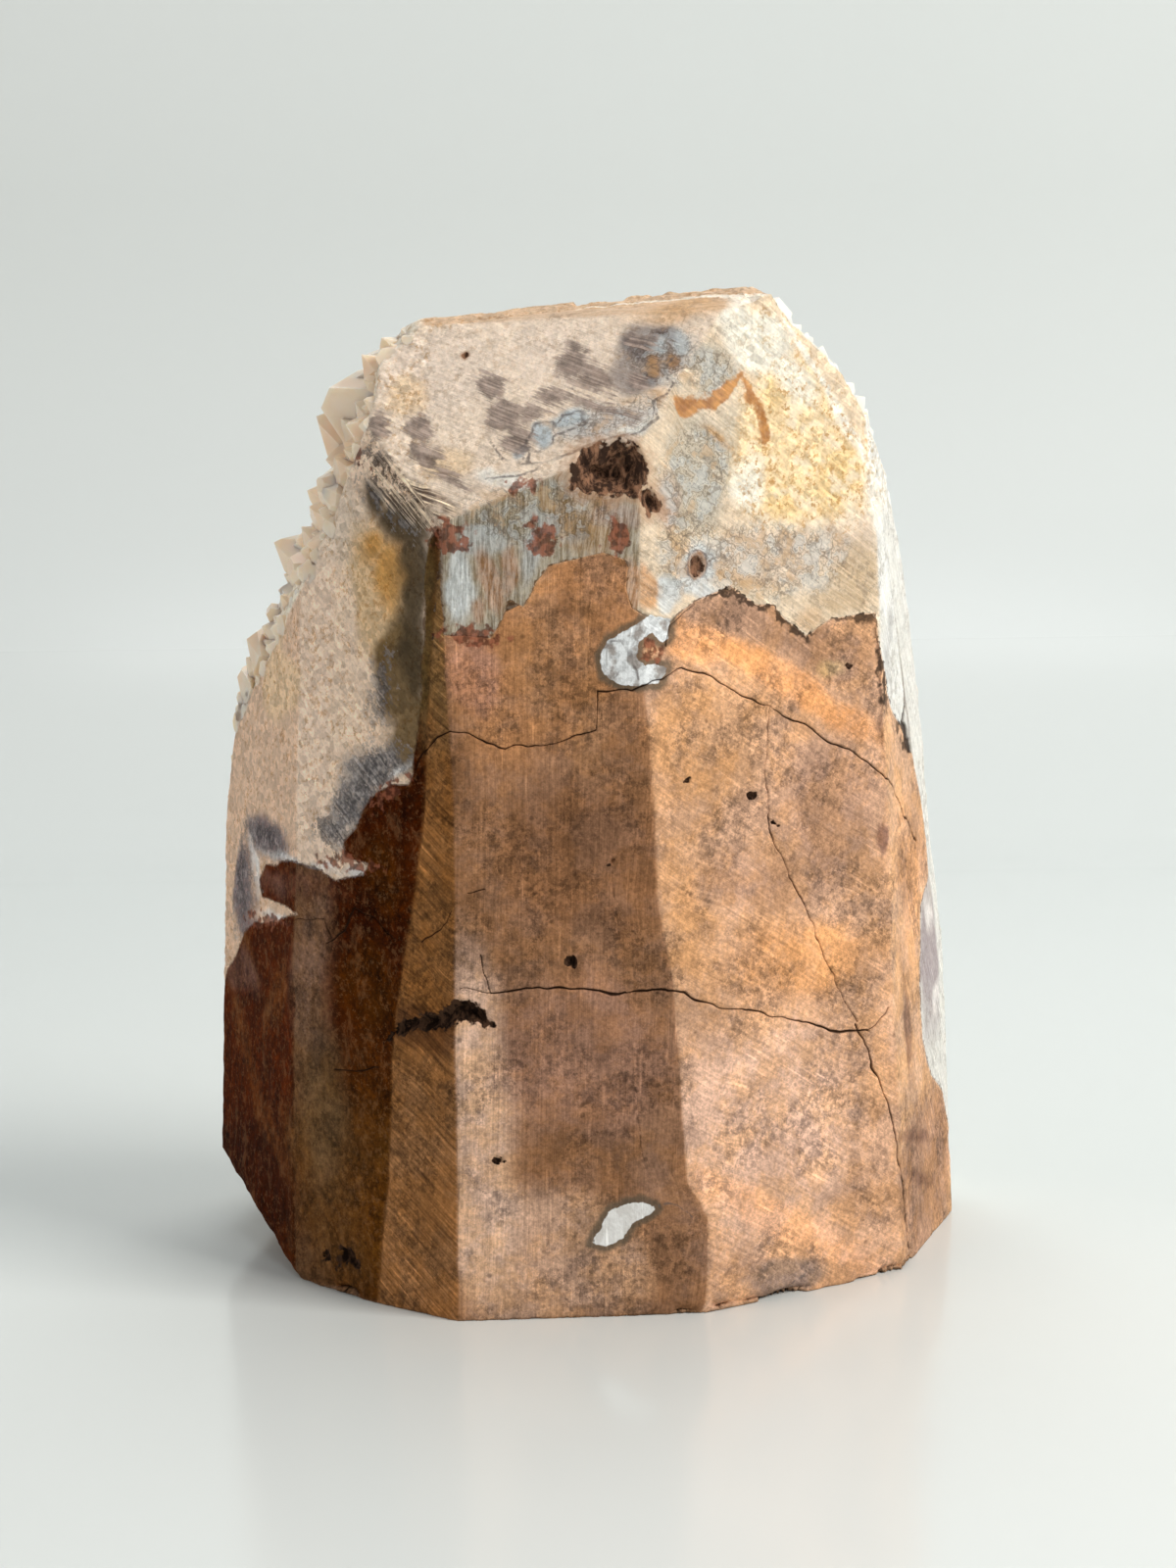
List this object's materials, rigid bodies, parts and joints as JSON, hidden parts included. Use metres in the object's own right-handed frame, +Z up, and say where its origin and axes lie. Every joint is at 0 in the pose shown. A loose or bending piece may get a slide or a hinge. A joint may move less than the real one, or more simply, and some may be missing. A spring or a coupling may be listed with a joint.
{
  "type": "citrine cluster on host rock",
  "caption": "Free-standing piece of crystal-pocket wall: ground host-rock facets in front, pale quartz crust above, citrine points on the back, flat sawn base to stand on.",
  "frame": {"origin": "on the sawn base, below the middle of the bounding box", "axes": "+Z up, -Y towards the broad ground front facet, +X to its right; the crystals face +Y"},
  "size_m": [0.0888, 0.0598, 0.1107],
  "materials": {
    "host_rock": "coarsely ground brown to orange-brown rock, matt, with grinding marks, fine cracks and dark speckling",
    "citrine_quartz": "milky to clear quartz: sugary cream where ground, grey-blue chalcedony at the rock contact, glassy pale champagne points on the natural surfaces"
  },
  "bodies": {
    "root": {"host_rock": "host_rock", "crystal_crust": "citrine_quartz"}
  },
  "joints": []
}
